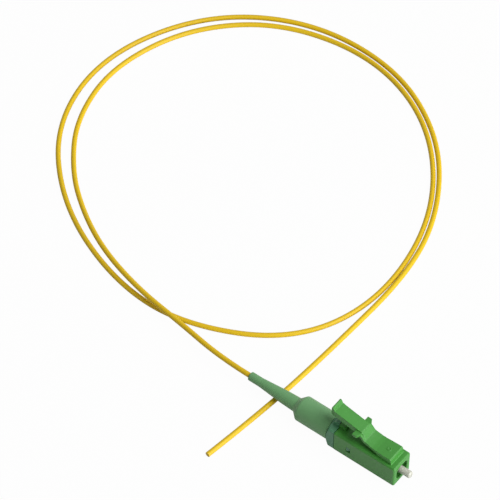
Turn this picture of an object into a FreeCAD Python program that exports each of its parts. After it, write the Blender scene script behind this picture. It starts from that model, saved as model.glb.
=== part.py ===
import FreeCAD, Part
import math
import os

# Fibre pigtail: a small-form connector with a sprung ceramic ferrule on a 0.9 mm buffered fibre,
# the fibre laid in two loose turns with a bare cut end. Millimetres. X runs along the connector
# towards the ferrule tip, Y to the far side, Z up. Z = 0 is the surface that the plug body lies on.
# Lengths along the connector are measured back from the front face of the plug housing.

V = FreeCAD.Vector

# plug housing
BODY_W = 4.52            # outer square
BODY_EDGE = 0.35         # rounding of its long edges and round its front face
PLUG_LEN = 12.01
MOUTH_W = 2.86           # front opening that takes the adapter sleeve
MOUTH_R = 0.95
MOUTH_DEPTH = 2.48
MOUTH_LEAD = 0.12        # chamfer of the opening's lip
WEB = 0.75               # wall between the mouth and the ferrule holder
WEB_BORE = 1.62
POCKET_LEN = 1.60        # hexagonal pocket that keys the ferrule holder
CAVITY_W = 3.48          # square cavity for the rear body's sleeve
CAVITY_R = 0.50
WINDOW_X = 0.88          # snap window in each side wall
WINDOW_Z = 1.20
WINDOW_BACK = 2.83       # window centre, forward of the housing's rear end
RIB_HALF = 0.78          # stop rib under the thumb plate
RIB_H = 0.80
RIB_LEN = 1.15
MARK_D = 0.85            # gate mark on the latch root
MARK_DEPTH = 0.03
MARK_AT = 2.88

# latch
ROOT_FRONT = 1.16        # front foot of the latch root block
ROOT_SLOPE = 0.34
LATCH_RISE = 1.13        # top of the root above the body
LATCH_R = 0.34           # half the arm's thickness at the bending line
HINGE_AT = 4.18          # bending line
HINGE_GAP = 0.03
SOCKET_ANGLE = 62.0      # how far round the arm's end the root reaches, degrees
ROOT_HALF = 1.70         # half widths of the arm, root to ears
ARM_HALF = 1.53
EAR_HALF = 2.20
EAR_BACK = 2.07          # ears' rear face behind the foot of the ramp
EAR_FLAT = 0.80
EAR_SWEEP = 0.45
EAR_TOP = 2.73           # above the body
EAR_T = 0.48
ARM_T = 0.55             # thickness between the bending line and the ramp
ARM_BEND_R = 3.0
ARM_LEN = 2.35           # bending line to the foot of the ramp
RAMP_RISE = 1.58
RAMP_LEN = 0.85
PLATE_HALF = 1.15
PLATE_RISE = 2.86
PLATE_LEN = 5.45
PLATE_SLOPE = 12.3       # degrees
PLATE_T = 1.32
LIP_H = 0.80
LIP_BACK = 0.45
LIP_T = 0.16             # at the top
LIP_R = 0.08
LIP_OUT = 0.40           # rear face behind the end of the plate
PLATE_EDGE = 0.07

# ferrule and what moves with it
TIP_OUT = 1.77           # ferrule beyond the front face
FERRULE_D = 1.249
FERRULE_LEN = 6.40
FERRULE_NOSE_R = 0.37    # flat left by the rounded nose
FERRULE_NOSE = 0.36
FERRULE_ROUND = 0.50
FERRULE_CHAMFER = 0.10
END_ANGLE = 8.0          # angled end face, degrees
DOME_R = 6.0
FIBRE_D = 0.125
FIBRE_BORE = 0.127
FUNNEL_D = 0.80
FUNNEL_LEN = 0.55
PRESS_GAP = 0.004
HEX_AF = 2.50
HEX_GAP = 0.06
HEX_LEN = 1.25
HEX_NOSE = 0.30
SEAT_GAP = 0.02
BARREL_D = 1.60
BARREL_LEN = 4.30
TUBE_D = 1.16
TUBE_BORE = 0.98
TUBE_LEN = 6.70
TUBE_START = 2.35        # behind the holder's front
COATING_D = 0.25
COATING_BORE = 0.29
COATING_LEN = 6.40
COATING_START = 5.18
TRAVEL = 1.00            # how far the ferrule is pushed back in use

# rear body
SEAM = 0.11              # open joint between the housing and the collar
SLEEVE_GAP = 0.05
SLEEVE_LEN = 4.50
SLEEVE_BORE = 2.70
TAB_GAP = 0.06
TAB_SUNK = 0.06          # tab's outer face below the housing's side
TAB_LOW = 0.12           # tab's lower edge below the axis, with a slot under it
COLLAR_LEN = 1.72
COLLAR_INSET = 0.02
COLLAR_TRIM = 0.65       # turned chamfer that trims its rear corners to the round boot
COLLAR_TRIM_R = 0.02
BOOT_SEAM = 0.07
COLLAR_RIB_LEN = 1.15
SEAT_AT = 0.75           # spring seat behind the housing's rear end
SEAT_BORE = 1.40
STUB_D = 2.90
STUB_LEN = 3.60
STUB_BARB = 0.16
STUB_BARB_LEN = 0.90

# spring
WIRE_D = 0.36
SPRING_MEAN_D = 2.12
SPRING_TURNS = 5.0

# boot
BOOT_LEN = 16.98
BOOT_INSET = 0.01        # boot's underside above the body's
BOOT_BARREL = 6.25       # wide part
BOOT_SHOULDER = 1.05
NECK_R = 1.27
NECK_LEN = 2.60
NECK_END_R = 1.17
TAIL_R = 0.785
TAIL_LEN = 2.20
BOOT_ROUND = 0.50
NECK_ROUND = 0.40
TAIL_ROUND = 0.20
BOOT_LIP = 0.08
BOOT_BORE = 0.98
STUB_FIT = 0.02
SOCKET_EXTRA = 0.25

# buffered fibre
BUFFER_D = 0.90
BUFFER_START = 7.18
FLOOR = BUFFER_D / 2.0

FLATS = 6                # sides of the fibre's and the spring wire's sections, few for a light mesh

AXIS_Z = BODY_W / 2.0
TOTAL = TIP_OUT + PLUG_LEN + COLLAR_LEN + BOOT_LEN
FRONT_X = TOTAL / 2.0 - TIP_OUT
BOOT_END_X = FRONT_X - PLUG_LEN - COLLAR_LEN - BOOT_LEN

# Route of the free fibre: out of the boot, two turns, then under the boot to the cut end.
# It stays raised until it has crossed over its own first turn.
ROUTE = [
    (BOOT_END_X, 0.0, AXIS_Z), (BOOT_END_X - 6.26, 0.0, AXIS_Z), (-32.2, 1.7, 2.05), (-41.8, 3.1, 1.80),
    (-51.6, 6, 1.60), (-60, 10.7, 0.85), (-67.8, 17, FLOOR), (-74.8, 26.8, FLOOR), (-77.3, 40.4, FLOOR),
    (-72, 55.9, FLOOR), (-59.6, 67, FLOOR), (-41.3, 70.1, FLOOR), (-24.6, 63, FLOOR),
    (-12.6, 47.1, FLOOR), (-9.2, 26.8, FLOOR), (-15.8, 11, FLOOR), (-32.7, 2.4, FLOOR),
    (-47.8, 2.9, FLOOR), (-64.6, 10.4, FLOOR), (-77.1, 23.8, FLOOR), (-80.2, 41.6, FLOOR),
    (-71.9, 60, FLOOR), (-56.2, 70.1, FLOOR), (-37.6, 70.5, FLOOR), (-22.7, 62.4, FLOOR),
    (-13.1, 49.4, FLOOR), (-8.9, 35, FLOOR), (-9.8, 12.6, FLOOR), (-11.2, -3.4, FLOOR),
    (-12.5, -16.2, FLOOR),
]


def back(distance):
    """X of a station measured back from the housing's front face."""
    return FRONT_X - distance


def box(x_low, x_high, half_y, z_low, z_high):
    solid = Part.makeBox(x_high - x_low, 2 * half_y, z_high - z_low)
    solid.translate(V(x_low, -half_y, z_low))
    return solid


def cylinder(radius, x_low, x_high):
    return Part.makeCylinder(radius, x_high - x_low, V(x_low, 0, AXIS_Z), V(1, 0, 0))


def corner(before, here, after, radius):
    """Start, middle and end of the arc that rounds one corner of a path."""
    to_before = (before - here).normalize()
    to_after = (after - here).normalize()
    half = to_before.getAngle(to_after) / 2.0
    inward = (to_before + to_after).normalize()
    reach = radius / math.tan(half)
    middle = here + inward * (radius / math.sin(half) - radius)
    return here + to_before * reach, middle, here + to_after * reach


def loop(points):
    """Closed wire through (point, radius) pairs, with each corner rounded by its radius."""
    joins = []
    for index, (here, radius) in enumerate(points):
        if radius > 0:
            following = points[(index + 1) % len(points)][0]
            joins.append(corner(points[index - 1][0], here, following, radius))
        else:
            joins.append((here, None, here))
    edges = []
    for index, (start, middle, end) in enumerate(joins):
        if middle is not None:
            edges.append(Part.Arc(start, middle, end).toShape())
        following = joins[(index + 1) % len(joins)][0]
        if end.distanceToPoint(following) > 1e-6:
            edges.append(Part.LineSegment(end, following).toShape())
    return Part.Wire(edges)


def side_profile(points, half_y):
    """Solid from a side view: points are (distance back, height above the body, radius)."""
    wire = loop([(V(back(d), -half_y, BODY_W + rise), radius) for d, rise, radius in points])
    return Part.Face(wire).extrude(V(0, 2 * half_y, 0))


def plan_profile(points, z_low, height):
    """Solid from a top view: points are (distance back, y, radius)."""
    wire = loop([(V(back(d), y, z_low), radius) for d, y, radius in points])
    return Part.Face(wire).extrude(V(0, 0, height))


def square_bar(width, radius, x_low, x_high):
    """Bar of rounded square section along the connector's axis."""
    half = width / 2.0
    corners = [(-half, -half), (half, -half), (half, half), (-half, half)]
    wire = loop([(V(x_low, y, AXIS_Z + z), radius) for y, z in corners])
    return Part.Face(wire).extrude(V(x_high - x_low, 0, 0))


def hex_bar(across_flats, x_low, x_high):
    reach = across_flats / math.sqrt(3.0)
    angles = [math.radians(60 * i) for i in range(6)]
    wire = loop([(V(x_low, reach * math.cos(a), AXIS_Z + reach * math.sin(a)), 0) for a in angles])
    return Part.Face(wire).extrude(V(x_high - x_low, 0, 0))


def turned(points):
    """Solid of revolution about the connector's axis: points are (x, radius, rounding).

    Each rounding is turned as two short cones, which keeps the mesh light.
    """
    corners = [(V(x, 0, AXIS_Z + r), rounding) for x, r, rounding in points]
    outline = []
    for index, (here, rounding) in enumerate(corners):
        if rounding > 0:
            following = corners[(index + 1) % len(corners)][0]
            outline.extend(corner(corners[index - 1][0], here, following, rounding))
        else:
            outline.append(here)
    outline.append(outline[0])
    return Part.Face(Part.makePolygon(outline)).revolve(V(0, 0, AXIS_Z), V(1, 0, 0), 360)


def flat_sided(centre, along, across):
    """Closed section with few sides, its first corner at the end of the along vector."""
    points = []
    for index in range(FLATS + 1):
        angle = 2 * math.pi * (index % FLATS) / FLATS
        points.append(centre + along * math.cos(angle) + across * math.sin(angle))
    return Part.makePolygon(points)


def edges_at_x(shape, x, reach=0.0):
    """Edges lying in the plane X = x and further than reach from the axis."""
    found = []
    for edge in shape.Edges:
        limits = edge.BoundBox
        far = max(limits.YMax, -limits.YMin, limits.ZMax - AXIS_Z, AXIS_Z - limits.ZMin)
        if abs(limits.XMin - x) < 1e-4 and abs(limits.XMax - x) < 1e-4 and far > reach:
            found.append(edge)
    return found


RAMP_FOOT = HINGE_AT + ARM_LEN
PLATE_FRONT = RAMP_FOOT + RAMP_LEN
EAR_REAR = RAMP_FOOT + EAR_BACK
HINGE_X = back(HINGE_AT)
HINGE_Z = BODY_W + LATCH_RISE - LATCH_R
REAR_X = back(PLUG_LEN)
WEB_REAR = MOUTH_DEPTH + WEB
HOLDER_FRONT = WEB_REAR + SEAT_GAP


def latch_plan():
    """Plan outline that narrows the arm from its root to the ears."""
    return plan_profile([(ROOT_FRONT - 0.6, -ROOT_HALF, 0), (ROOT_FRONT - 0.6, ROOT_HALF, 0),
                         (ROOT_FRONT + 1.0, ROOT_HALF, 0), (RAMP_FOOT, ARM_HALF, 0),
                         (EAR_REAR + 1.0, ARM_HALF, 0), (EAR_REAR + 1.0, -ARM_HALF, 0),
                         (RAMP_FOOT, -ARM_HALF, 0), (ROOT_FRONT + 1.0, -ROOT_HALF, 0)],
                        BODY_W - 0.5, LATCH_RISE + PLATE_RISE + 1.0)


def plug_housing():
    body = box(REAR_X, FRONT_X, BODY_W / 2, 0, BODY_W)
    rear_edges = edges_at_x(body, REAR_X)
    body = body.makeFillet(BODY_EDGE, [edge for edge in body.Edges
                                       if not any(edge.isSame(other) for other in rear_edges)])

    # latch root: flared foot in front, socket round the arm's end behind
    reach = (LATCH_R + HINGE_GAP) * math.cos(math.radians(SOCKET_ANGLE))
    root_rear = HINGE_AT - reach
    root = side_profile([(ROOT_FRONT - 0.35, -0.02, 0), (ROOT_FRONT, 0.04, 0.35),
                         (ROOT_FRONT + ROOT_SLOPE, LATCH_RISE, 0.28), (root_rear, LATCH_RISE, 0),
                         (root_rear, -0.2, 0), (ROOT_FRONT, -0.2, 0)], ROOT_HALF)
    root = root.common(latch_plan())
    socket = Part.makeCylinder(LATCH_R + HINGE_GAP, 2 * BODY_W, V(HINGE_X, -BODY_W, HINGE_Z), V(0, 1, 0))
    root = root.cut(socket)
    body = body.fuse(root)

    rib = box(REAR_X, REAR_X + RIB_LEN, RIB_HALF, BODY_W - 0.2, BODY_W + RIB_H)
    rib = rib.makeFillet(0.12, edges_at_x(rib, REAR_X + RIB_LEN, 1.0))
    body = body.fuse(rib).removeSplitter()

    mark = Part.makeCylinder(MARK_D / 2, 1.0, V(back(MARK_AT), 0, BODY_W + LATCH_RISE - MARK_DEPTH))
    body = body.cut(mark)

    # mouth, web bore, hexagonal pocket and cavity
    mouth = square_bar(MOUTH_W, MOUTH_R, back(MOUTH_DEPTH), FRONT_X + 1)
    body = body.cut(mouth)
    body = body.cut(cylinder(WEB_BORE / 2, back(WEB_REAR + 0.1), back(MOUTH_DEPTH - 0.1)))
    pocket_end = WEB_REAR + POCKET_LEN
    body = body.cut(hex_bar(HEX_AF + 2 * HEX_GAP, back(pocket_end), back(WEB_REAR)))
    body = body.cut(square_bar(CAVITY_W, CAVITY_R, REAR_X - 1, back(pocket_end)))

    window_x = REAR_X + WINDOW_BACK
    window = box(window_x - WINDOW_X / 2, window_x + WINDOW_X / 2, BODY_W,
                 AXIS_Z - WINDOW_Z / 2, AXIS_Z + WINDOW_Z / 2)
    body = body.cut(window)

    lip = [edge for edge in edges_at_x(body, FRONT_X)
           if abs(edge.CenterOfMass.y) <= MOUTH_W / 2 + 0.01
           and abs(edge.CenterOfMass.z - AXIS_Z) <= MOUTH_W / 2 + 0.01]
    return body.makeChamfer(MOUTH_LEAD, lip)


def latch_lever():
    top_rear = PLATE_RISE + PLATE_LEN * math.tan(math.radians(PLATE_SLOPE))
    rear = PLATE_FRONT + PLATE_LEN
    first = HINGE_AT + 0.36 * ARM_LEN
    second = HINGE_AT + 0.70 * ARM_LEN
    first_rise = LATCH_RISE + 0.22 * (RAMP_RISE - LATCH_RISE)
    second_rise = LATCH_RISE + 0.60 * (RAMP_RISE - LATCH_RISE)
    arm = side_profile([(HINGE_AT - LATCH_R, LATCH_RISE, LATCH_R), (HINGE_AT + 0.05, LATCH_RISE, 0.3),
                        (first, first_rise, ARM_BEND_R), (second, second_rise, ARM_BEND_R),
                        (RAMP_FOOT, RAMP_RISE, 0.5), (RAMP_FOOT + RAMP_LEN + 0.1, EAR_TOP - 0.13, 0.4),
                        (EAR_REAR, EAR_TOP, 0), (EAR_REAR, EAR_TOP - EAR_T, 0),
                        (RAMP_FOOT + RAMP_LEN + 0.35, EAR_TOP - EAR_T - 0.12, 0.4),
                        (RAMP_FOOT + 0.2, RAMP_RISE - ARM_T, 0.5),
                        (second, second_rise - ARM_T, ARM_BEND_R), (first, first_rise - ARM_T, ARM_BEND_R),
                        (HINGE_AT + 0.05, LATCH_RISE - 2 * LATCH_R, 0.3),
                        (HINGE_AT - LATCH_R, LATCH_RISE - 2 * LATCH_R, LATCH_R)], EAR_HALF)
    arm = arm.common(latch_plan())

    plate = side_profile([(RAMP_FOOT + 0.05, RAMP_RISE - 0.2, 0), (RAMP_FOOT + 0.05, RAMP_RISE + 0.02, 0),
                          (PLATE_FRONT, PLATE_RISE, 0.45), (rear, top_rear, 0.6),
                          (rear + LIP_BACK, top_rear + LIP_H, LIP_R),
                          (rear + LIP_BACK + LIP_T, top_rear + LIP_H, LIP_R),
                          (rear + LIP_BACK + LIP_OUT, top_rear - 0.15, 0.3),
                          (rear + LIP_BACK + 0.7 * LIP_OUT, top_rear - PLATE_T + 0.15, 0.25),
                          (EAR_REAR + 0.1, PLATE_RISE - PLATE_T + 0.32, 0.8),
                          (PLATE_FRONT - 0.1, RAMP_RISE - 0.03, 0)], PLATE_HALF)
    sides = [edge for edge in plate.Edges if edge.BoundBox.YMax - edge.BoundBox.YMin < 1e-4]
    plate = plate.makeChamfer(PLATE_EDGE, sides)

    ear_foot = EAR_REAR - EAR_FLAT - EAR_SWEEP
    ears = plan_profile([(EAR_REAR, -EAR_HALF, 0.10), (EAR_REAR - EAR_FLAT, -EAR_HALF, 0.15),
                         (ear_foot, -ARM_HALF + 0.05, 0), (ear_foot, ARM_HALF - 0.05, 0),
                         (EAR_REAR - EAR_FLAT, EAR_HALF, 0.15), (EAR_REAR, EAR_HALF, 0.10)],
                        BODY_W + EAR_TOP - EAR_T, EAR_T)
    return arm.fuse([plate, ears]).removeSplitter()


def rear_body():
    sleeve_w = CAVITY_W - 2 * SLEEVE_GAP
    collar_front = REAR_X - SEAM
    collar_rear = REAR_X - COLLAR_LEN + BOOT_SEAM
    collar = square_bar(BODY_W - 2 * COLLAR_INSET, BODY_EDGE, collar_rear, collar_front)
    corner_r = 0.72 * BODY_W
    trim = turned([(collar_rear, 0, 0), (collar_rear, BODY_W / 2 + COLLAR_TRIM_R, 0),
                   (collar_rear + COLLAR_TRIM, corner_r, 0), (collar_front, corner_r, 0),
                   (collar_front, 0, 0)])
    collar = collar.common(trim)
    sleeve = square_bar(sleeve_w, CAVITY_R - SLEEVE_GAP, collar_front, REAR_X + SLEEVE_LEN)
    stub = cylinder(STUB_D / 2, collar_rear - STUB_LEN, collar_rear)
    barb = turned([(collar_rear - STUB_LEN, 0, 0), (collar_rear - STUB_LEN, STUB_D / 2, 0),
                   (collar_rear - STUB_LEN + STUB_BARB_LEN, STUB_D / 2 + STUB_BARB, 0),
                   (collar_rear - STUB_LEN + STUB_BARB_LEN, 0, 0)])
    rib = box(collar_front - COLLAR_RIB_LEN, collar_front, RIB_HALF, BODY_W - 0.3, BODY_W + RIB_H)
    rib = rib.makeChamfer(0.45, [edge for edge in edges_at_x(rib, collar_front - COLLAR_RIB_LEN)
                                 if edge.CenterOfMass.z > BODY_W + RIB_H - 0.01])
    body = collar.fuse([sleeve, stub, barb, rib]).removeSplitter()

    seat_x = REAR_X - SEAT_AT
    body = body.cut(cylinder(SLEEVE_BORE / 2, seat_x, REAR_X + SLEEVE_LEN + 1))
    body = body.cut(cylinder(SEAT_BORE / 2, collar_rear - STUB_LEN - 1, seat_x + 0.1))

    # snap tabs: low in front so that they ride into the windows, square behind, each over a slot
    window_x = REAR_X + WINDOW_BACK
    half = WINDOW_X / 2 - TAB_GAP
    out = BODY_W / 2 - TAB_SUNK
    low = AXIS_Z - TAB_LOW
    body = body.cut(box(window_x - half, window_x + half, sleeve_w, AXIS_Z - WINDOW_Z / 2 + TAB_GAP, low))
    for side in (-1, 1):
        points = [V(window_x - half, side * (sleeve_w / 2 - 0.1), low), V(window_x - half, side * out, low),
                  V(window_x - half + 0.25, side * out, low), V(window_x + half, side * (sleeve_w / 2), low),
                  V(window_x + half, side * (sleeve_w / 2 - 0.1), low)]
        tab = Part.Face(loop([(point, 0) for point in points]))
        body = body.fuse(tab.extrude(V(0, 0, WINDOW_Z / 2 - TAB_GAP + TAB_LOW)))
    return body.removeSplitter()


def ferrule():
    tip = FRONT_X + TIP_OUT
    rear = tip - FERRULE_LEN
    radius = FERRULE_D / 2
    blank = turned([(rear, 0, 0), (rear, radius, 0), (tip - FERRULE_NOSE, radius, FERRULE_ROUND),
                    (tip + 0.01, FERRULE_NOSE_R, 0), (tip + 0.01, 0, 0)])
    blank = blank.makeChamfer(FERRULE_CHAMFER, edges_at_x(blank, rear, radius - 0.1))
    # angled, slightly domed end face, its lower edge furthest out
    lean = V(math.cos(math.radians(END_ANGLE)), 0, math.sin(math.radians(END_ANGLE)))
    middle = V(tip - FERRULE_NOSE_R * math.tan(math.radians(END_ANGLE)), 0, AXIS_Z)
    dome = Part.makeSphere(DOME_R, middle - lean * DOME_R)
    keep = box(rear - 1, tip - DOME_R / 2, BODY_W, -1, BODY_W + 1)
    blank = blank.common(dome.fuse(keep))
    bore = cylinder(FIBRE_BORE / 2, rear - 1, tip + 1)
    funnel = Part.makeCone(FUNNEL_D / 2, FIBRE_BORE / 2, FUNNEL_LEN, V(rear, 0, AXIS_Z), V(1, 0, 0))
    return blank.cut(bore).cut(funnel)


def ferrule_holder():
    front = back(HOLDER_FRONT)
    hexagon = hex_bar(HEX_AF, front - HEX_LEN, front)
    guard = turned([(front - HEX_LEN, 0, 0), (front - HEX_LEN, HEX_AF, 0),
                    (front - HEX_NOSE, HEX_AF / 1.7, 0), (front, HEX_AF / 2 - 0.12, 0), (front, 0, 0)])
    head = hexagon.common(guard)
    barrel_end = front - HEX_LEN - BARREL_LEN
    barrel = cylinder(BARREL_D / 2, barrel_end, front - HEX_LEN)
    body = head.fuse(barrel).removeSplitter()
    seat_end = back(FERRULE_LEN - TIP_OUT)
    body = body.cut(cylinder(FERRULE_D / 2 + PRESS_GAP, seat_end, front + 1))
    body = body.cut(cylinder(TUBE_D / 2 + PRESS_GAP, barrel_end - 1, seat_end))
    rim = edges_at_x(body, barrel_end, BARREL_D / 2 - 0.05)
    return body.makeChamfer(0.08, rim)


def lead_in_tube():
    start = back(HOLDER_FRONT + TUBE_START)
    return cylinder(TUBE_D / 2, start - TUBE_LEN, start).cut(cylinder(TUBE_BORE / 2, start - TUBE_LEN, start))


def spring():
    seat = REAR_X - SEAT_AT
    front = back(HOLDER_FRONT) - HEX_LEN
    low = seat + WIRE_D / 2 + 0.01
    high = front - WIRE_D / 2 - 0.01
    helix = Part.makeHelix((high - low) / SPRING_TURNS, high - low, SPRING_MEAN_D / 2)
    section = flat_sided(V(SPRING_MEAN_D / 2, 0, 0), V(WIRE_D / 2, 0, 0), V(0, 0, WIRE_D / 2))
    coil = Part.Wire(helix).makePipeShell([section], True, True)
    coil.rotate(V(0, 0, 0), V(0, 1, 0), 90)
    coil.translate(V(low, 0, AXIS_Z))
    return coil


def boot():
    front = REAR_X - COLLAR_LEN
    rear = front - BOOT_LEN
    wide = BODY_W / 2 - BOOT_INSET
    shoulder = front - BOOT_BARREL
    neck = shoulder - BOOT_SHOULDER
    taper = neck - NECK_LEN
    tail = rear + TAIL_LEN
    outer = turned([(rear, 0, 0), (rear, TAIL_R, TAIL_ROUND), (tail, TAIL_R, 0), (taper, NECK_END_R, 0),
                    (neck, NECK_R, NECK_ROUND), (shoulder, wide, BOOT_ROUND), (front - BOOT_LIP, wide, 0),
                    (front, wide - BOOT_LIP, 0), (front, 0, 0)])
    stub_rear = REAR_X - COLLAR_LEN + BOOT_SEAM - STUB_LEN
    socket = cylinder(STUB_D / 2 + STUB_FIT, stub_rear - SOCKET_EXTRA, front + 1)
    groove = turned([(stub_rear - SOCKET_EXTRA, 0, 0), (stub_rear - SOCKET_EXTRA, STUB_D / 2 + STUB_FIT, 0),
                     (stub_rear + STUB_BARB_LEN + STUB_FIT, STUB_D / 2 + STUB_BARB + STUB_FIT, 0),
                     (stub_rear + STUB_BARB_LEN + STUB_FIT, 0, 0)])
    bore = cylinder(BOOT_BORE / 2, rear - 1, front)
    return outer.cut(socket).cut(groove).cut(bore)


def glass_fibre():
    end_face = FRONT_X + TIP_OUT - FERRULE_NOSE_R * math.tan(math.radians(END_ANGLE))
    return cylinder(FIBRE_D / 2, back(COATING_START), end_face - 0.01)


def coated_fibre():
    return cylinder(COATING_D / 2, back(COATING_START + COATING_LEN), back(COATING_START))


def inner_buffer():
    rod = cylinder(BUFFER_D / 2, BOOT_END_X, back(BUFFER_START))
    depth = COATING_START + COATING_LEN + TRAVEL + 0.6
    return rod.cut(cylinder(COATING_BORE / 2, back(depth), back(BUFFER_START) + 1))


def pigtail_cord():
    """Plain rod along the route: straight runs joined by tangent arcs."""
    points = [V(*point) for point in ROUTE]
    edges = []
    radii = []
    place = points[0]
    for before, here, after in zip(points, points[1:], points[2:]):
        turn = math.pi - (before - here).getAngle(after - here)
        run = min(before.distanceToPoint(here), after.distanceToPoint(here))
        radius = 0.45 * run / math.tan(turn / 2)
        start, middle, end = corner(before, here, after, radius)
        edges.append(Part.LineSegment(place, start).toShape())
        edges.append(Part.Arc(start, middle, end).toShape())
        radii.append(radius)
        place = end
    edges.append(Part.LineSegment(place, points[-1]).toShape())
    path = Part.Wire(edges)
    section = flat_sided(points[0], V(0, 0, -BUFFER_D / 2), V(0, BUFFER_D / 2, 0))
    rod = path.makePipeShell([section], True, False)
    print("cord radii:", " ".join("%.1f" % radius for radius in radii))
    print("cord length %.1f, volume over section times length %.5f"
          % (path.Length, rod.Volume / (path.Length * Part.Face(section).Area)))
    return rod


PIECES = {
    "plug_housing": plug_housing,
    "latch_lever": latch_lever,
    "rear_body": rear_body,
    "ferrule": ferrule,
    "ferrule_holder": ferrule_holder,
    "lead_in_tube": lead_in_tube,
    "spring": spring,
    "boot": boot,
    "glass_fibre": glass_fibre,
    "coated_fibre": coated_fibre,
    "inner_buffer": inner_buffer,
    "pigtail_cord": pigtail_cord,
}

os.makedirs("parts", exist_ok=True)
for name, make in PIECES.items():
    shape = make()
    if shape.ShapeType != "Solid" and len(shape.Solids) == 1:
        shape = shape.Solids[0]
    shape.exportStep("parts/" + name + ".step")
    print(name, shape.ShapeType, "valid" if shape.isValid() else "NOT VALID", "volume %.3f" % shape.Volume,
          "x %.2f..%.2f y %.2f..%.2f z %.2f..%.2f" % (shape.BoundBox.XMin, shape.BoundBox.XMax,
                                                     shape.BoundBox.YMin, shape.BoundBox.YMax,
                                                     shape.BoundBox.ZMin, shape.BoundBox.ZMax))
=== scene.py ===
"""Fibre pigtail: a green small-form connector on a yellow 0.9 mm buffered fibre in loose turns."""

import math

import bmesh
import bpy
from bpy.props import FloatProperty, FloatVectorProperty, IntProperty, PointerProperty
from mathutils import Matrix, Vector


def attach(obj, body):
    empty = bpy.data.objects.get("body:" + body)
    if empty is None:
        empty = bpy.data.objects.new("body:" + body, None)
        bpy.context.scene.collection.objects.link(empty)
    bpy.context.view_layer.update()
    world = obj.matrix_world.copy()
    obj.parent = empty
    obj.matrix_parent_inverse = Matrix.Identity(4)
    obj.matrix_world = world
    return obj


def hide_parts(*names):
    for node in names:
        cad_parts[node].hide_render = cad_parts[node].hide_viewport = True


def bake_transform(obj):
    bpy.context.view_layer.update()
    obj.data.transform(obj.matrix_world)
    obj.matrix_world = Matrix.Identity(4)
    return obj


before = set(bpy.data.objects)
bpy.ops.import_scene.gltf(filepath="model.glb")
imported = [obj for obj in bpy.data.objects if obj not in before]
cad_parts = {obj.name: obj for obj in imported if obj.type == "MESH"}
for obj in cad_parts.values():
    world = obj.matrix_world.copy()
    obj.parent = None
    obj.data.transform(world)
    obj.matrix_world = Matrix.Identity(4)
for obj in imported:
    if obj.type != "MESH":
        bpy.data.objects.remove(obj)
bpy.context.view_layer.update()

bl_info = {
    "name": "Fibre Pigtail",
    "version": (1, 0, 0),
    "blender": (4, 5, 0),
    "location": "3D View > Sidebar > Pigtail",
    "description": "Builds a fibre pigtail with its connector, boot and loose fibre on a studio floor",
    "category": "Add Mesh",
}

MM = 0.001

# Route of the free fibre, in millimetres: out of the boot, twice round, then under the boot to the cut end.
ROUTE = [
    (-16.24, 0, 2.26), (-22.5, 0, 2.26), (-32.2, 1.7, 2.05), (-41.8, 3.1, 1.80), (-51.6, 6, 1.60),
    (-60, 10.7, 0.85), (-67.8, 17, 0.45), (-74.8, 26.8, 0.45), (-77.3, 40.4, 0.45), (-72, 55.9, 0.45),
    (-59.6, 67, 0.45), (-41.3, 70.1, 0.45), (-24.6, 63, 0.45), (-12.6, 47.1, 0.45), (-9.2, 26.8, 0.45),
    (-15.8, 11, 0.45), (-32.7, 2.4, 0.45), (-47.8, 2.9, 0.45), (-64.6, 10.4, 0.45), (-77.1, 23.8, 0.45),
    (-80.2, 41.6, 0.45), (-71.9, 60, 0.45), (-56.2, 70.1, 0.45), (-37.6, 70.5, 0.45),
    (-22.7, 62.4, 0.45), (-13.1, 49.4, 0.45), (-8.9, 35, 0.45), (-9.8, 12.6, 0.45), (-11.05, -3.4, 0.45),
    (-12.9, -15.8, 0.45),
]

# The square body, in millimetres: place of its front face, height of its top and of the plug's axis.
FRONT_X = 14.47
BODY_TOP = 4.52
AXIS_Z = 2.26

# The latch, in millimetres. Places are distances behind the front face, heights are above the body.
ROOT_FRONT = 1.16
ROOT_REAR = 4.02
ROOT_HALF = 1.70
ARM_HALF = 1.53
TAPER_FROM = 1.0
RAMP_FOOT = 6.53
LATCH_RISE = 1.13
HINGE_AT = 4.18
HINGE_T = 0.68
SKIN = 0.015

# The solid's own root front and rear lip are cut off at these places and drawn again below.
ROOT_FROM = 1.60
LIP_FROM = 12.60
CUTS = ((LIP_FROM, -1.0), (ROOT_FROM, 1.0))

# Half width of the lip, where it starts to draw in, over what length and by how much.
LIP_HALF = 1.15
LIP_DRAWS_FROM = 13.30
LIP_DRAWS_OVER = 0.38
LIP_DRAWS_BY = 0.30

# Side view of the thin bridge that joins the root to the arm, where the latch flexes.
BRIDGE_UNDER = LATCH_RISE - HINGE_T
BRIDGE = [
    (ROOT_REAR - 0.3, BRIDGE_UNDER - SKIN), (ROOT_REAR - 0.3, LATCH_RISE + SKIN),
    (HINGE_AT + 0.05, LATCH_RISE + SKIN), (HINGE_AT + 0.6, LATCH_RISE + 0.07),
    (HINGE_AT + 0.6, BRIDGE_UNDER + 0.17), (HINGE_AT + 0.05, BRIDGE_UNDER - SKIN),
]

# Mould mark on the root: its place, and the radii and heights of its ring's section.
MARK_AT = 2.72
MARK_STEPS = 40
MARK = ((0.21, -0.05), (0.24, 0.03), (0.31, 0.06), (0.38, 0.03), (0.42, -0.05))

# Side view of the thumb plate's raised lip: distances behind the front face, heights above the body and
# corner roundings, in millimetres.
LIP = [
    (12.40, 2.64, 0.0), (12.40, 3.954, 0.0), (12.86, 4.054, 0.06), (13.05, 4.52, 0.12), (13.25, 4.72, 0.12),
    (13.45, 4.67, 0.16), (13.69, 3.90, 0.30), (13.56, 2.88, 0.25),
]

# Side view of the latch's root, in the same way.
ROOT = [
    (0.98, -0.10, 0.0), (0.98, 0.012, 0.0), (1.10, 0.10, 0.08), (1.21, 1.145, 0.30), (4.02, 1.145, 0.0),
    (4.02, -0.10, 0.0),
]

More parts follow.
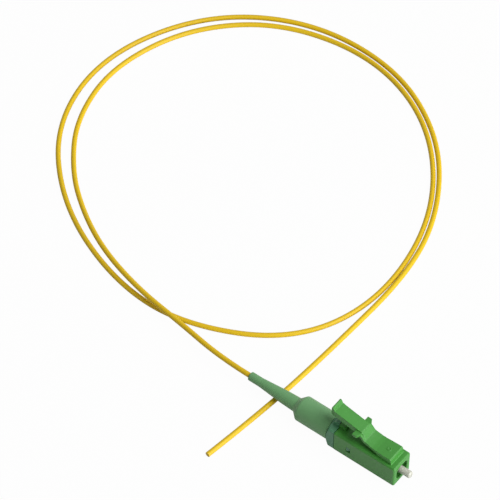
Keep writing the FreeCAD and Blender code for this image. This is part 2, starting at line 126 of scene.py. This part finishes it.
# Snap tab in each side window, in millimetres: place along the plug, outer face and lower edge of each of its
# sections, then the inner face, the top and the bevel that they share.
TAB = ((4.91, 2.207, 1.80), (5.16, 2.207, 1.85), (5.67, 1.98, 1.96))
TAB_IN = 1.80
TAB_TOP = 2.80
TAB_BEVEL = 0.04

# The boot's outline from its cut tail to its collar end, and back along its bore: places along the plug,
# radii and corner roundings, in millimetres.
BOOT = [
    (-16.24, 0.50, 0.0), (-16.24, 0.785, 0.20), (-14.04, 0.785, 6.0), (-9.16, 1.17, 6.0), (-6.56, 1.27, 0.40),
    (-5.51, 2.25, 0.50), (0.74, 2.25, 0.07), (0.74, 1.47, 0.0), (-1.87, 1.47, 0.0), (-1.87, 1.63, 0.0),
    (-3.04, 1.47, 0.0), (-3.04, 0.50, 0.0),
]

# The ferrule, in millimetres, and the angle of its polished end in degrees.
FERRULE_TIP = 16.33
FERRULE_REAR = 9.84
FERRULE_REAR_BEVEL = 0.10
FERRULE_R = 0.6245
FERRULE_NOSE = 0.34
FERRULE_FLAT = 0.16
FERRULE_BORE = 0.0635
NOSE_STEPS = 12
END_ANGLE = 8.0

# Edges that are sharper than this, in degrees, stay sharp in the lathed and window pieces.
SHARP_FROM = 32.0

# Camera, as found from the plug's edges and the fibre's 0.9 mm: angles in degrees, lengths in millimetres
# from a point on the plug's axis.
CAMERA_FROM_X = 14.94
CAMERA_BEARING = 36.68
CAMERA_HEIGHT = 51.58
CAMERA_ROLL = 0.827
CAMERA_SIDE = -24.827
CAMERA_UP = 36.995
CAMERA_DISTANCE = 580.95
CAMERA_LENS = 259.2
CAMERA_SENSOR = 36.0

# The stage: what the lamps aim at and the floor's drop, in millimetres, the floor's half width in metres, and
# the shares of plain white that the camera and mirrored rays see in it. Each lamp has its direction, distance
# and side in metres, and power in watts.
LAMP_TARGET = (-30.0, 25.0, 0.0)
FLOOR_DROP = 0.02
FLOOR_HALF = 1.5
FLOOR_GREY = 0.60
SEEN_WHITE = 0.97
MIRRORED_WHITE = 0.5
FILL = 0.27
LAMPS = (
    ("key_softbox", (0.60, 0.12, 0.80), 0.7, 0.50, 4.2),
    ("side_softbox", (-0.5, 0.7, 0.6), 0.8, 0.40, 0.6),
    ("front_softbox", (1.0, 0.04, 0.13), 0.7, 0.17, 2.6),
)
WHITE = (1.0, 1.0, 1.0, 1.0)


def linear(code):
    """Linear red, green and blue of an sRGB hex colour."""
    values = [int(code[i:i + 2], 16) / 255 for i in (1, 3, 5)]
    return tuple(v / 12.92 if v <= 0.04045 else ((v + 0.055) / 1.055) ** 2.4 for v in values)


def colour_property(name, description, code):
    return FloatVectorProperty(name=name, description=description, subtype="COLOR", size=3, min=0, max=1,
                               default=linear(code))


def length_property(name, description, millimetres):
    return FloatProperty(name=name, description=description, unit="LENGTH", subtype="DISTANCE", min=0,
                         precision=6, default=millimetres * MM)


class PigtailColours(bpy.types.PropertyGroup):
    """Colours of the moulded parts, the fibre's jacket and the ceramic."""

    housing: colour_property("Housing", "Green of the plug housing", "#3F8B34")
    latch: colour_property("Latch", "Green of the thumb latch", "#408C35")
    rear: colour_property("Rear body", "Blue-green of the rear body", "#518D67")
    boot: colour_property("Boot", "Green of the soft boot", "#689F67")
    jacket: colour_property("Jacket", "Yellow of the fibre's tight buffer", "#DEB90E")
    ceramic: colour_property("Ceramic", "White of the ferrule", "#C0C0B4")


class PigtailSizes(bpy.types.PropertyGroup):
    """Sizes that the render adds to the solid model."""

    jacket_diameter: length_property("Jacket diameter", "Outer diameter of the buffered fibre", 0.9)
    skin_cell: length_property("Latch cell", "Cell size of the latch's moulded skin", 0.038)
    edge_softness: length_property("Edge softness", "Radius that moulded edges are softened by", 0.05)
    skin_passes: IntProperty(name="Smoothing passes", description="Passes that round the latch's edges",
                             min=0, max=40, default=3)


def sizes(context):
    return context.scene.pigtail_sizes


def colours(context):
    return context.scene.pigtail_colours


def add_node(tree, kind, settings=None, inputs=None):
    """Adds a node. A setting goes to the node, an input gets a value or the socket that feeds it."""
    node = tree.nodes.new(kind)
    for name, value in (settings or {}).items():
        setattr(node, name, value)
    for name, value in (inputs or {}).items():
        if isinstance(value, bpy.types.NodeSocket):
            tree.links.new(value, node.inputs[name])
        else:
            node.inputs[name].default_value = value
    return node


def new_material(name):
    """Node material with an empty tree, and that tree."""
    material = bpy.data.materials.new(name)
    material.use_nodes = True
    material.node_tree.nodes.clear()
    return material, material.node_tree


def dress(piece, material):
    piece.data.materials.clear()
    piece.data.materials.append(material)
    return piece


def per_mm(millimetres):
    """Texture scale for a pattern of that real size, over object coordinates in metres."""
    return 1.0 / (millimetres * MM)


def moulded_plastic(name, colour, softness, roughness=0.42, grain_mm=0.14, flow_mm=3.0, sheen=0.0):
    """Injection-moulded polyester: satin from a spark-eroded mould, with faint flow shades in the resin and
    edges that the mould leaves slightly round, so that they catch a line of light. The mould's real grain is
    about 0.03 mm, too fine to show at this size, so it is drawn coarser."""
    material, tree = new_material(name)
    place = add_node(tree, "ShaderNodeTexCoord").outputs["Object"]
    grain = add_node(tree, "ShaderNodeTexNoise", {}, {"Vector": place, "Scale": per_mm(grain_mm),
                                                       "Detail": 4.0, "Roughness": 0.6})
    flow = add_node(tree, "ShaderNodeTexNoise", {}, {"Vector": place, "Scale": per_mm(flow_mm),
                                                      "Detail": 3.0, "Distortion": 0.8})
    soft = add_node(tree, "ShaderNodeBevel", {"samples": 6}, {"Radius": softness})
    deep = tuple(c * 0.90 for c in colour) + (1.0,)
    pale = tuple(c * 1.06 for c in colour) + (1.0,)
    body = add_node(tree, "ShaderNodeMix", {"data_type": "RGBA"},
                    {0: flow.outputs["Fac"], 6: deep, 7: pale})
    gloss = add_node(tree, "ShaderNodeMapRange", {}, {"Value": grain.outputs["Fac"], "From Min": 0.3,
                                                       "From Max": 0.7, "To Min": roughness - 0.05,
                                                       "To Max": roughness + 0.07})
    bump = add_node(tree, "ShaderNodeBump", {}, {"Height": grain.outputs["Fac"], "Strength": 0.20,
                                                  "Distance": 0.003 * MM, "Normal": soft.outputs["Normal"]})
    shader = add_node(tree, "ShaderNodeBsdfPrincipled", {},
                      {"Base Color": body.outputs[2], "Roughness": gloss.outputs["Result"],
                       "Normal": bump.outputs["Normal"], "IOR": 1.5, "Sheen Weight": sheen})
    add_node(tree, "ShaderNodeOutputMaterial", {}, {"Surface": shader.outputs["BSDF"]})
    return material


def extruded_jacket(name, colour):
    """Tight buffer extruded over the fibre: smooth, half gloss, its shade drifting slowly along the length.
    The die leaves marks of a few hundredths of a millimetre, which are drawn coarser so that they show."""
    material, tree = new_material(name)
    place = add_node(tree, "ShaderNodeTexCoord").outputs["Object"]
    drift = add_node(tree, "ShaderNodeTexNoise", {}, {"Vector": place, "Scale": per_mm(9.0), "Detail": 2.0})
    speck = add_node(tree, "ShaderNodeTexNoise", {}, {"Vector": place, "Scale": per_mm(0.25), "Detail": 3.0})
    deep = tuple(c * 0.90 for c in colour) + (1.0,)
    pale = tuple(min(1.0, c * 1.05 + 0.004) for c in colour) + (1.0,)
    body = add_node(tree, "ShaderNodeMix", {"data_type": "RGBA"},
                    {0: drift.outputs["Fac"], 6: deep, 7: pale})
    gloss = add_node(tree, "ShaderNodeMapRange", {}, {"Value": speck.outputs["Fac"], "From Min": 0.3,
                                                       "From Max": 0.7, "To Min": 0.45, "To Max": 0.52})
    bump = add_node(tree, "ShaderNodeBump", {}, {"Height": speck.outputs["Fac"], "Strength": 0.04,
                                                  "Distance": 0.001 * MM})
    shader = add_node(tree, "ShaderNodeBsdfPrincipled", {},
                      {"Base Color": body.outputs[2], "Roughness": gloss.outputs["Result"],
                       "Normal": bump.outputs["Normal"], "IOR": 1.5, "Specular IOR Level": 0.35})
    add_node(tree, "ShaderNodeOutputMaterial", {}, {"Surface": shader.outputs["BSDF"]})
    return material


def ground_zirconia(name, colour):
    """Zirconia ceramic, ground round and polished: dense off-white, slightly see-through at its edges, with
    fine rings from the grinding wheel. The real rings are finer than can be seen, so they are drawn coarser."""
    material, tree = new_material(name)
    place = add_node(tree, "ShaderNodeTexCoord").outputs["Object"]
    rings = add_node(tree, "ShaderNodeTexWave", {"wave_type": "BANDS", "bands_direction": "X"},
                     {"Vector": place, "Scale": per_mm(3.0), "Distortion": 1.0, "Detail": 1.0})
    cloud = add_node(tree, "ShaderNodeTexNoise", {}, {"Vector": place, "Scale": per_mm(0.7), "Detail": 3.0})
    deep = tuple(c * 0.97 for c in colour) + (1.0,)
    pale = tuple(min(1.0, c * 1.02) for c in colour) + (1.0,)
    body = add_node(tree, "ShaderNodeMix", {"data_type": "RGBA"},
                    {0: cloud.outputs["Fac"], 6: deep, 7: pale})
    gloss = add_node(tree, "ShaderNodeMapRange", {}, {"Value": rings.outputs["Fac"], "To Min": 0.26,
                                                       "To Max": 0.34})
    bump = add_node(tree, "ShaderNodeBump", {}, {"Height": rings.outputs["Fac"], "Strength": 0.03,
                                                  "Distance": 0.001 * MM})
    shader = add_node(tree, "ShaderNodeBsdfPrincipled", {},
                      {"Base Color": body.outputs[2], "Roughness": gloss.outputs["Result"],
                       "Normal": bump.outputs["Normal"], "IOR": 1.8, "Specular IOR Level": 0.35,
                       "Subsurface Weight": 0.2, "Subsurface Radius": (0.5, 0.48, 0.42),
                       "Subsurface Scale": 0.2 * MM})
    add_node(tree, "ShaderNodeOutputMaterial", {}, {"Surface": shader.outputs["BSDF"]})
    return material


def turned_metal(name, code, roughness, line_mm):
    """Drawn or turned metal: fine lines round the axis that stretch the highlight. The tool's real lines are a
    few hundredths of a millimetre apart and are drawn coarser."""
    material, tree = new_material(name)
    place = add_node(tree, "ShaderNodeTexCoord").outputs["Object"]
    lines = add_node(tree, "ShaderNodeTexWave", {"wave_type": "BANDS", "bands_direction": "X"},
                     {"Vector": place, "Scale": per_mm(line_mm), "Distortion": 2.0, "Detail": 2.0})
    gloss = add_node(tree, "ShaderNodeMapRange", {}, {"Value": lines.outputs["Fac"],
                                                       "To Min": roughness - 0.05, "To Max": roughness + 0.06})
    bump = add_node(tree, "ShaderNodeBump", {}, {"Height": lines.outputs["Fac"], "Strength": 0.15,
                                                  "Distance": 0.003 * MM})
    shader = add_node(tree, "ShaderNodeBsdfPrincipled", {},
                      {"Base Color": linear(code) + (1.0,), "Metallic": 1.0,
                       "Roughness": gloss.outputs["Result"], "Normal": bump.outputs["Normal"]})
    add_node(tree, "ShaderNodeOutputMaterial", {}, {"Surface": shader.outputs["BSDF"]})
    return material


def clear_drawn(name, code, roughness, speck_mm):
    """Drawn silica, its clear coating or a natural polymer tube: glossy, with a faint cloud in it."""
    material, tree = new_material(name)
    place = add_node(tree, "ShaderNodeTexCoord").outputs["Object"]
    cloud = add_node(tree, "ShaderNodeTexNoise", {}, {"Vector": place, "Scale": per_mm(speck_mm),
                                                       "Detail": 3.0})
    base = linear(code)
    body = add_node(tree, "ShaderNodeMix", {"data_type": "RGBA"},
                    {0: cloud.outputs["Fac"], 6: tuple(c * 0.92 for c in base) + (1.0,),
                     7: base + (1.0,)})
    shader = add_node(tree, "ShaderNodeBsdfPrincipled", {},
                      {"Base Color": body.outputs[2], "Roughness": roughness, "IOR": 1.46,
                       "Transmission Weight": 0.25})
    add_node(tree, "ShaderNodeOutputMaterial", {}, {"Surface": shader.outputs["BSDF"]})
    return material


def mesh_piece(name, mesh):
    piece = bpy.data.objects.new(name, mesh)
    bpy.context.scene.collection.objects.link(piece)
    return piece


def latch_half_width(back):
    """Half width of the latch in plan at a distance behind the front face, in millimetres."""
    share = (back - ROOT_FRONT - TAPER_FROM) / (RAMP_FOOT - ROOT_FRONT - TAPER_FROM)
    return ROOT_HALF + (ARM_HALF - ROOT_HALF) * min(1.0, max(0.0, share))


def lathed(name, outline, around=96):
    """Mesh turned about the plug's axis from a closed outline of (place along the plug, radius) points."""
    turned = bmesh.new()
    rings = []
    for along, radius in outline:
        ring = []
        for i in range(around):
            turn = 2 * math.pi * i / around
            ring.append(turned.verts.new((along, radius * math.cos(turn),
                                          AXIS_Z + radius * math.sin(turn))))
        rings.append(ring)
    for ring, following in zip(rings, rings[1:] + rings[:1]):
        for i in range(around):
            turned.faces.new((ring[i - 1], ring[i], following[i], following[i - 1]))
    bmesh.ops.recalc_face_normals(turned, faces=turned.faces)
    mesh = bpy.data.meshes.new(name)
    turned.to_mesh(mesh)
    turned.free()
    return mesh


def finish_mesh(mesh):
    """Brings a mesh from millimetres to metres and shades it smooth up to its real corners."""
    mesh.transform(Matrix.Scale(MM, 4))
    mesh.polygons.foreach_set("use_smooth", [True] * len(mesh.polygons))
    mesh.set_sharp_from_angle(angle=math.radians(SHARP_FROM))
    return mesh


def lip_half_width(back):
    """Half width of the thumb plate's lip, which draws in towards its rear face."""
    return LIP_HALF - LIP_DRAWS_BY * max(0.0, (back - LIP_DRAWS_FROM) / LIP_DRAWS_OVER) ** 2


def side_block(mesh, outline, half_width, proud=0.0):
    """Adds a closed block to the bmesh: its side view is the outline of (distance back, rise) points."""
    rows = []
    for side in (-1, 1):
        row = []
        for back, rise in outline:
            half = half_width(back) + proud
            row.append(mesh.verts.new((FRONT_X - back, side * half, BODY_TOP + rise)))
        rows.append(row)
    count = len(outline)
    mesh.faces.new(rows[0][::-1])
    mesh.faces.new(rows[1])
    for i in range(count):
        following = (i + 1) % count
        mesh.faces.new((rows[0][i], rows[0][following], rows[1][following], rows[1][i]))


def rounded(outline, corner, radius, steps=6):
    """Outline with one corner replaced by an arc of that radius."""
    here = Vector(outline[corner])
    before = (Vector(outline[corner - 1]) - here).normalized()
    after = (Vector(outline[(corner + 1) % len(outline)]) - here).normalized()
    half = before.angle(after) / 2
    centre = here + (before + after).normalized() * (radius / math.sin(half))
    start = here + before * (radius / math.tan(half)) - centre
    end = here + after * (radius / math.tan(half)) - centre
    arc = []
    for i in range(steps + 1):
        turn = start.lerp(end, i / steps).normalized() * radius
        arc.append(tuple(centre + turn))
    return outline[:corner] + arc + outline[corner + 1:]


def softened(corners, steps=6):
    """Outline of (place, height, rounding) corners with each rounding drawn as an arc."""
    outline = [(place, height) for place, height, _ in corners]
    for corner in reversed(range(len(corners))):
        if corners[corner][2] > 0:
            outline = rounded(outline, corner, corners[corner][2], steps)
    return outline


class PIGTAIL_OT_stage(bpy.types.Operator):
    """Pale floor, soft studio light and the camera"""

    bl_idname = "pigtail.stage"
    bl_label = "Build stage"

    def execute(self, context):
        self.floor()
        self.world(context)
        self.lamps(context)
        self.camera(context)
        return {"FINISHED"}

    def floor(self):
        """Matt white sweep. The camera sees it near paper white and keeps the shadow on it."""
        mesh = bpy.data.meshes.new("studio_floor")
        sheet = bmesh.new()
        bmesh.ops.create_grid(sheet, x_segments=8, y_segments=8, size=FLOOR_HALF)
        sheet.to_mesh(mesh)
        sheet.free()
        floor = mesh_piece("studio_floor", mesh)
        floor.location = (0.0, 0.0, -FLOOR_DROP * MM)
        material, tree = new_material("matt_white_paper_sweep")
        rays = add_node(tree, "ShaderNodeLightPath")
        paper = add_node(tree, "ShaderNodeBsdfDiffuse", {}, {"Color": (FLOOR_GREY,) * 3 + (1.0,)})
        white = add_node(tree, "ShaderNodeEmission", {}, {"Color": WHITE, "Strength": 1.0})
        mirrored = add_node(tree, "ShaderNodeMath", {"operation": "MAXIMUM"},
                            {0: rays.outputs["Is Glossy Ray"], 1: rays.outputs["Is Transmission Ray"]})
        dimmed = add_node(tree, "ShaderNodeMath", {"operation": "MULTIPLY"},
                          {0: mirrored.outputs[0], 1: MIRRORED_WHITE})
        seen = add_node(tree, "ShaderNodeMath", {"operation": "MULTIPLY"},
                        {0: rays.outputs["Is Camera Ray"], 1: SEEN_WHITE})
        share = add_node(tree, "ShaderNodeMath", {"operation": "MAXIMUM"},
                         {0: seen.outputs[0], 1: dimmed.outputs[0]})
        mixed = add_node(tree, "ShaderNodeMixShader", {}, {0: share.outputs[0], 1: paper.outputs[0],
                                                            2: white.outputs[0]})
        add_node(tree, "ShaderNodeOutputMaterial", {}, {"Surface": mixed.outputs[0]})
        dress(floor, material)

    def world(self, context):
        """White for the camera, and an even fill at a lower level for everything else."""
        world = bpy.data.worlds.new("white_studio")
        context.scene.world = world
        world.use_nodes = True
        tree = world.node_tree
        tree.nodes.clear()
        rays = add_node(tree, "ShaderNodeLightPath")
        fill = add_node(tree, "ShaderNodeBackground", {}, {"Color": WHITE, "Strength": FILL})
        white = add_node(tree, "ShaderNodeBackground", {}, {"Color": WHITE, "Strength": 1.0})
        mixed = add_node(tree, "ShaderNodeMixShader", {}, {0: rays.outputs["Is Camera Ray"],
                                                            1: fill.outputs[0], 2: white.outputs[0]})
        add_node(tree, "ShaderNodeOutputWorld", {}, {"Surface": mixed.outputs[0]})

    def lamps(self, context):
        """Softboxes over, behind and in front of the part, all aimed at the middle of the fibre's turns."""
        target = Vector(LAMP_TARGET) * MM
        for name, direction, distance, size, power in LAMPS:
            lamp = bpy.data.lights.new(name, "AREA")
            lamp.shape = "SQUARE"
            lamp.size = size
            lamp.energy = power
            holder = bpy.data.objects.new(name, lamp)
            context.scene.collection.objects.link(holder)
            aim = Vector(direction).normalized()
            holder.location = target + aim * distance
            holder.rotation_euler = aim.to_track_quat("Z", "Y").to_euler()

    def camera(self, context):
        """Camera with the photograph's view of the plug and the fibre."""
        bearing = math.radians(CAMERA_BEARING)
        height = math.radians(CAMERA_HEIGHT)
        roll = math.radians(CAMERA_ROLL)
        right = Vector((math.cos(bearing), math.sin(bearing), 0.0))
        ahead = Vector((-math.sin(bearing), math.cos(bearing), 0.0))
        behind = Vector((0.0, 0.0, math.sin(height))) - ahead * math.cos(height)
        up = behind.cross(right)
        across = right * math.cos(roll) + up * math.sin(roll)
        upward = up * math.cos(roll) - right * math.sin(roll)
        lens = bpy.data.cameras.new("camera")
        lens.sensor_width = CAMERA_SENSOR
        lens.lens = CAMERA_LENS
        lens.clip_start = 0.01
        lens.clip_end = 10.0
        camera = bpy.data.objects.new("camera", lens)
        context.scene.collection.objects.link(camera)
        turn = Matrix((across, upward, behind)).transposed().to_4x4()
        place = across * CAMERA_SIDE + upward * CAMERA_UP + behind * CAMERA_DISTANCE
        place = (place + Vector((CAMERA_FROM_X, 0.0, 0.0))) * MM
        camera.matrix_world = Matrix.Translation(place) @ turn
        context.scene.camera = camera


class PIGTAIL_OT_fibre(bpy.types.Operator):
    """The free buffered fibre, from the boot round its loose turns to the cut end"""

    bl_idname = "pigtail.fibre"
    bl_label = "Lay fibre"

    def execute(self, context):
        diameter = sizes(context).jacket_diameter
        jacket = extruded_jacket("extruded_yellow_tight_buffer", tuple(colours(context).jacket))
        curve = bpy.data.curves.new("loose_fibre", "CURVE")
        curve.dimensions = "3D"
        spline = curve.splines.new("NURBS")
        spline.points.add(len(ROUTE) - 1)
        for point, place in zip(spline.points, ROUTE):
            point.co = (place[0] * MM, place[1] * MM, place[2] * MM, 1.0)
        spline.order_u = 3
        spline.use_endpoint_u = True
        spline.use_smooth = True
        curve.resolution_u = 24
        curve.bevel_depth = diameter / 2
        curve.bevel_resolution = 6
        curve.use_fill_caps = True
        fibre = bpy.data.objects.new("loose_fibre", curve)
        context.scene.collection.objects.link(fibre)
        curve.materials.append(jacket)
        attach(fibre, "plug")
        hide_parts("pigtail_cord")
        dress(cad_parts["inner_buffer"], jacket)
        return {"FINISHED"}


class PIGTAIL_OT_latch(bpy.types.Operator):
    """The thumb latch, one moulding with its root and the thin bridge where the real latch flexes"""

    bl_idname = "pigtail.latch"
    bl_label = "Mould latch"

    def execute(self, context):
        given = sizes(context)
        whole = bmesh.new()
        whole.from_mesh(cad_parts["latch_lever"].data)
        for vertex in whole.verts:
            vertex.co = vertex.co / MM
        bmesh.ops.remove_doubles(whole, verts=whole.verts, dist=1e-4)
        for back, outward in CUTS:
            bmesh.ops.bisect_plane(whole, geom=whole.verts[:] + whole.edges[:] + whole.faces[:],
                                   plane_co=(FRONT_X - back, 0.0, 0.0), plane_no=(outward, 0.0, 0.0),
                                   clear_outer=True)
            bmesh.ops.holes_fill(whole, edges=[edge for edge in whole.edges if edge.is_boundary])
        side_block(whole, softened(LIP), lip_half_width)
        side_block(whole, softened(ROOT), latch_half_width, SKIN)
        side_block(whole, BRIDGE, latch_half_width)
        mesh = bpy.data.meshes.new("moulded_latch")
        whole.to_mesh(mesh)
        whole.free()
        latch = mesh_piece("moulded_latch", mesh)
        cells = latch.modifiers.new("skin", "REMESH")
        cells.mode = "VOXEL"
        cells.voxel_size = given.skin_cell / MM
        cells.use_smooth_shade = True
        soften = latch.modifiers.new("soften", "SMOOTH")
        soften.factor = 0.5
        soften.iterations = given.skin_passes
        skin = bpy.data.meshes.new_from_object(latch.evaluated_get(context.evaluated_depsgraph_get()))
        latch.modifiers.clear()
        latch.data = skin
        skin.name = "moulded_latch_skin"
        self.mould_mark(skin)
        skin.transform(Matrix.Scale(MM, 4))
        skin.polygons.foreach_set("use_smooth", [True] * len(skin.polygons))
        dress(latch, moulded_plastic("moulded_polyester_latch_green", tuple(colours(context).latch),
                                     given.edge_softness))
        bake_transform(latch)
        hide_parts("latch_lever")
        return {"FINISHED"}

    def mould_mark(self, skin):
        """Adds the low ring that a mould pin leaves on the root's top."""
        marked = bmesh.new()
        marked.from_mesh(skin)
        top = BODY_TOP + LATCH_RISE + SKIN
        rings = []
        for radius, rise in MARK:
            ring = []
            for i in range(MARK_STEPS):
                turn = 2 * math.pi * i / MARK_STEPS
                ring.append(marked.verts.new((FRONT_X - MARK_AT + radius * math.cos(turn),
                                              radius * math.sin(turn), top + rise)))
            rings.append(ring)
        for ring, following in zip(rings, rings[1:] + rings[:1]):
            for i in range(MARK_STEPS):
                marked.faces.new((ring[i - 1], following[i - 1], following[i], ring[i]))
        marked.to_mesh(skin)
        marked.free()


class PIGTAIL_OT_housing(bpy.types.Operator):
    """The square plug housing and the rear body that snaps into it"""

    bl_idname = "pigtail.housing"
    bl_label = "Finish housing"

    def execute(self, context):
        soft = sizes(context).edge_softness
        dress(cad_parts["plug_housing"],
              moulded_plastic("moulded_polyester_housing_green", tuple(colours(context).housing), soft))
        teal = moulded_plastic("moulded_polyester_rear_body_teal", tuple(colours(context).rear), soft,
                               roughness=0.46)
        dress(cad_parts["rear_body"], teal)
        for name, side in (("snap_tab_near", -1), ("snap_tab_far", 1)):
            tab = mesh_piece(name, self.snap_tab(name, side))
            dress(tab, teal)
            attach(tab, "plug")
        return {"FINISHED"}

    def snap_tab(self, name, side):
        """Wedge that clicks into the side window: flush behind, sloping in towards its front."""
        shape = bmesh.new()
        rows = []
        for along, out, low in TAB:
            section = ((TAB_IN, low), (out - TAB_BEVEL, low), (out, low + TAB_BEVEL),
                       (out, TAB_TOP - TAB_BEVEL), (out - TAB_BEVEL, TAB_TOP), (TAB_IN, TAB_TOP))
            rows.append([shape.verts.new((along, side * y, z)) for y, z in section])
        shape.faces.new(rows[0])
        shape.faces.new(rows[-1][::-1])
        for row, following in zip(rows, rows[1:]):
            for i in range(len(row)):
                shape.faces.new((row[i - 1], row[i], following[i], following[i - 1]))
        bmesh.ops.recalc_face_normals(shape, faces=shape.faces)
        mesh = bpy.data.meshes.new(name)
        shape.to_mesh(mesh)
        shape.free()
        return finish_mesh(mesh)


class PIGTAIL_OT_boot(bpy.types.Operator):
    """The soft tapered boot"""

    bl_idname = "pigtail.boot"
    bl_label = "Finish boot"

    def execute(self, context):
        boot = mesh_piece("soft_boot", finish_mesh(lathed("soft_boot", softened(BOOT, steps=10))))
        dress(boot, moulded_plastic("moulded_soft_elastomer_boot_green", tuple(colours(context).boot),
                                    sizes(context).edge_softness, roughness=0.58, grain_mm=0.18, flow_mm=4.0,
                                    sheen=0.2))
        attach(boot, "plug")
        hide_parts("boot")
        return {"FINISHED"}


class PIGTAIL_OT_ferrule(bpy.types.Operator):
    """The white ferrule with the glass at its tip, its holder, tube and spring"""

    bl_idname = "pigtail.ferrule"
    bl_label = "Finish ferrule"

    def execute(self, context):
        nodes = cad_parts
        outline = [(FERRULE_REAR, FERRULE_BORE), (FERRULE_REAR, FERRULE_R - FERRULE_REAR_BEVEL),
                   (FERRULE_REAR + FERRULE_REAR_BEVEL, FERRULE_R)]
        for i in range(NOSE_STEPS + 1):
            turn = math.pi / 2 * i / NOSE_STEPS
            outline.append((FERRULE_TIP + FERRULE_NOSE * (math.sin(turn) - 1),
                            FERRULE_FLAT + (FERRULE_R - FERRULE_FLAT) * math.cos(turn)))
        outline.append((FERRULE_TIP, FERRULE_BORE))
        mesh = lathed("ground_ferrule", outline)
        lean = math.tan(math.radians(END_ANGLE))
        for vertex in mesh.vertices:
            share = min(1.0, max(0.0, 1 + (vertex.co.x - FERRULE_TIP) / FERRULE_NOSE))
            vertex.co.x -= share * lean * (FERRULE_FLAT + vertex.co.z - AXIS_Z)
        ferrule = mesh_piece("ground_ferrule", finish_mesh(mesh))
        dress(ferrule, ground_zirconia("ground_zirconia_ceramic", tuple(colours(context).ceramic)))
        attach(ferrule, "ferrule_unit")
        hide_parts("ferrule")
        dress(nodes["glass_fibre"], clear_drawn("drawn_silica_glass", "#E6EEF2", 0.08, 0.05))
        dress(nodes["coated_fibre"], clear_drawn("clear_acrylate_coating", "#E9E7E2", 0.20, 0.1))
        dress(nodes["lead_in_tube"], clear_drawn("extruded_natural_polymer_tube", "#E4E3DE", 0.30, 0.5))
        dress(nodes["ferrule_holder"], turned_metal("nickel_plated_turned_brass", "#C8C2B4", 0.28, 0.12))
        dress(nodes["spring"], turned_metal("drawn_stainless_spring_wire", "#B9BABC", 0.24, 0.2))
        return {"FINISHED"}


class PIGTAIL_PT_panel(bpy.types.Panel):
    """Lists the steps that build the pigtail"""

    bl_label = "Fibre Pigtail"
    bl_idname = "PIGTAIL_PT_panel"
    bl_space_type = "VIEW_3D"
    bl_region_type = "UI"
    bl_category = "Pigtail"

    def draw(self, context):
        layout = self.layout
        for step in STEPS:
            layout.operator(step.bl_idname)
        for group in (colours(context), sizes(context)):
            box = layout.box()
            for name in group.__annotations__:
                box.prop(group, name)


STEPS = (
    PIGTAIL_OT_stage,
    PIGTAIL_OT_fibre,
    PIGTAIL_OT_housing,
    PIGTAIL_OT_latch,
    PIGTAIL_OT_boot,
    PIGTAIL_OT_ferrule,
)
CLASSES = (PigtailColours, PigtailSizes) + STEPS + (PIGTAIL_PT_panel,)


def register():
    for kind in CLASSES:
        bpy.utils.register_class(kind)
    bpy.types.Scene.pigtail_colours = PointerProperty(type=PigtailColours)
    bpy.types.Scene.pigtail_sizes = PointerProperty(type=PigtailSizes)


def unregister():
    del bpy.types.Scene.pigtail_sizes
    del bpy.types.Scene.pigtail_colours
    for kind in reversed(CLASSES):
        bpy.utils.unregister_class(kind)


def main():
    register()
    bpy.context.scene.view_settings.view_transform = "Standard"
    bpy.ops.pigtail.stage()
    bpy.ops.pigtail.fibre()
    bpy.ops.pigtail.housing()
    bpy.ops.pigtail.latch()
    bpy.ops.pigtail.boot()
    bpy.ops.pigtail.ferrule()


if __name__ == "__main__":
    main()
